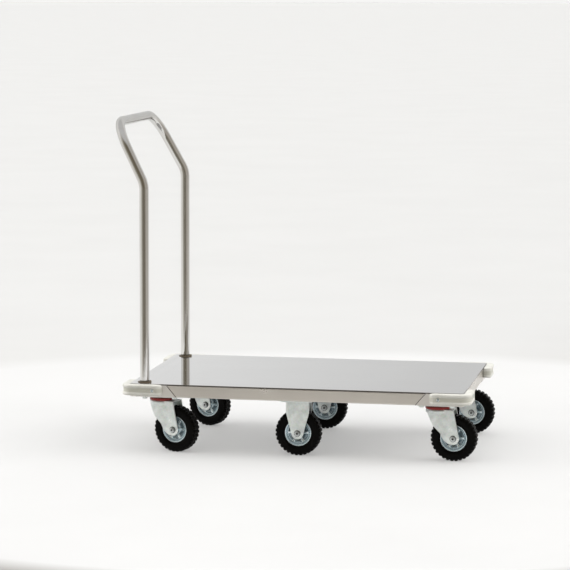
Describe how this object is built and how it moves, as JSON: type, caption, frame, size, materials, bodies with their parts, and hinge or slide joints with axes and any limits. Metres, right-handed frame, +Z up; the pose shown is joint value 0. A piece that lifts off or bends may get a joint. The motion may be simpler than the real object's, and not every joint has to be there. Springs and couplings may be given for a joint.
{
  "type": "platform trolley",
  "caption": "Low platform trolley with a flat sheet-metal deck, a bent push handle at one end, corner bumpers, swivel casters at the corners and fixed casters in the middle.",
  "frame": {"origin": "on the floor, midway along the overall length and width", "axes": "+Z up, +X towards the leading end, the handle stands at the -X end, -Y is the right side for a person who pushes"},
  "size_m": [0.9942, 0.602, 0.898],
  "materials": {
    "deck_steel": "polished sheet with a fine grain",
    "frame_steel": "satin",
    "hidden_steel": "mill finish",
    "handle_steel": "polished tube",
    "bumper_plastic": "milky, slightly translucent moulded plastic",
    "zinc_plate": "bright zinc plate",
    "zinc_rim": "bluish bright zinc plate",
    "fastener_steel": "zinc plate",
    "seal_plastic": "red-brown moulded plastic",
    "tyre_rubber": "black rubber"
  },
  "bodies": {
    "chassis": {"deck_sheet": "deck_steel", "side_rail_right": "frame_steel", "side_rail_left": "frame_steel", "end_rail_front": "frame_steel", "end_rail_rear": "frame_steel", "deck_cross_member": "hidden_steel", "deck_rib_rear": "hidden_steel", "deck_rib_front": "hidden_steel", "corner_bracket_rear_right": "frame_steel", "corner_bracket_front_right": "frame_steel", "corner_bracket_front_left": "frame_steel", "corner_bracket_rear_left": "frame_steel", "corner_bumper_rear_right": "bumper_plastic", "corner_bumper_front_right": "bumper_plastic", "corner_bumper_front_left": "bumper_plastic", "corner_bumper_rear_left": "bumper_plastic", "handle_tube": "handle_steel", "handle_collar_right": "handle_steel", "handle_collar_left": "handle_steel", "handle_anchor_right": "fastener_steel", "handle_anchor_left": "fastener_steel", "swivel_plate_rear_right": "zinc_plate", "swivel_plate_front_right": "zinc_plate", "swivel_plate_front_left": "zinc_plate", "swivel_plate_rear_left": "zinc_plate", "fork_middle_right": "zinc_plate", "axle_bolt_middle_right": "fastener_steel", "axle_sleeve_middle_right": "fastener_steel", "fork_middle_left": "zinc_plate", "axle_bolt_middle_left": "fastener_steel", "axle_sleeve_middle_left": "fastener_steel"},
    "swivel_rear_right": {"dust_seal_rear_right": "seal_plastic", "fork_rear_right": "zinc_plate", "axle_bolt_rear_right": "fastener_steel", "axle_sleeve_rear_right": "fastener_steel"},
    "wheel_rear_right": {"rim_rear_right": "zinc_rim", "tyre_rear_right": "tyre_rubber"},
    "swivel_front_right": {"dust_seal_front_right": "seal_plastic", "fork_front_right": "zinc_plate", "axle_bolt_front_right": "fastener_steel", "axle_sleeve_front_right": "fastener_steel"},
    "wheel_front_right": {"rim_front_right": "zinc_rim", "tyre_front_right": "tyre_rubber"},
    "swivel_front_left": {"dust_seal_front_left": "seal_plastic", "fork_front_left": "zinc_plate", "axle_bolt_front_left": "fastener_steel", "axle_sleeve_front_left": "fastener_steel"},
    "wheel_front_left": {"rim_front_left": "zinc_rim", "tyre_front_left": "tyre_rubber"},
    "swivel_rear_left": {"dust_seal_rear_left": "seal_plastic", "fork_rear_left": "zinc_plate", "axle_bolt_rear_left": "fastener_steel", "axle_sleeve_rear_left": "fastener_steel"},
    "wheel_rear_left": {"rim_rear_left": "zinc_rim", "tyre_rear_left": "tyre_rubber"},
    "wheel_middle_right": {"rim_middle_right": "zinc_rim", "tyre_middle_right": "tyre_rubber"},
    "wheel_middle_left": {"rim_middle_left": "zinc_rim", "tyre_middle_left": "tyre_rubber"}
  },
  "joints": [
    {"name": "swivel_rear_right", "type": "hinge", "parent": "chassis", "child": "swivel_rear_right", "pos_m": [-0.35914, -0.214, 0.139], "axis": [0, 0, 1], "continuous": true},
    {"name": "wheel_rear_right", "type": "hinge", "parent": "swivel_rear_right", "child": "wheel_rear_right", "pos_m": [-0.31664, -0.22539, 0.06196], "axis": [0.2588, 0.9659, 0], "continuous": true},
    {"name": "swivel_front_right", "type": "hinge", "parent": "chassis", "child": "swivel_front_right", "pos_m": [0.39086, -0.214, 0.139], "axis": [0, 0, 1], "continuous": true},
    {"name": "wheel_front_right", "type": "hinge", "parent": "swivel_front_right", "child": "wheel_front_right", "pos_m": [0.43483, -0.21554, 0.06196], "axis": [0.0349, 0.9994, 0], "continuous": true},
    {"name": "swivel_front_left", "type": "hinge", "parent": "chassis", "child": "swivel_front_left", "pos_m": [0.39086, 0.214, 0.139], "axis": [0, 0, 1], "continuous": true},
    {"name": "wheel_front_left", "type": "hinge", "parent": "swivel_front_left", "child": "wheel_front_left", "pos_m": [0.43483, 0.21246, 0.06196], "axis": [0.0349, 0.9994, 0], "continuous": true},
    {"name": "swivel_rear_left", "type": "hinge", "parent": "chassis", "child": "swivel_rear_left", "pos_m": [-0.35914, 0.214, 0.139], "axis": [0, 0, 1], "continuous": true},
    {"name": "wheel_rear_left", "type": "hinge", "parent": "swivel_rear_left", "child": "wheel_rear_left", "pos_m": [-0.31729, 0.2004, 0.06196], "axis": [0.309, 0.9511, 0], "continuous": true},
    {"name": "wheel_middle_right", "type": "hinge", "parent": "chassis", "child": "wheel_middle_right", "pos_m": [0.01586, -0.214, 0.06196], "axis": [0, 1, 0], "continuous": true},
    {"name": "wheel_middle_left", "type": "hinge", "parent": "chassis", "child": "wheel_middle_left", "pos_m": [0.01586, 0.214, 0.06196], "axis": [0, 1, 0], "continuous": true}
  ]
}
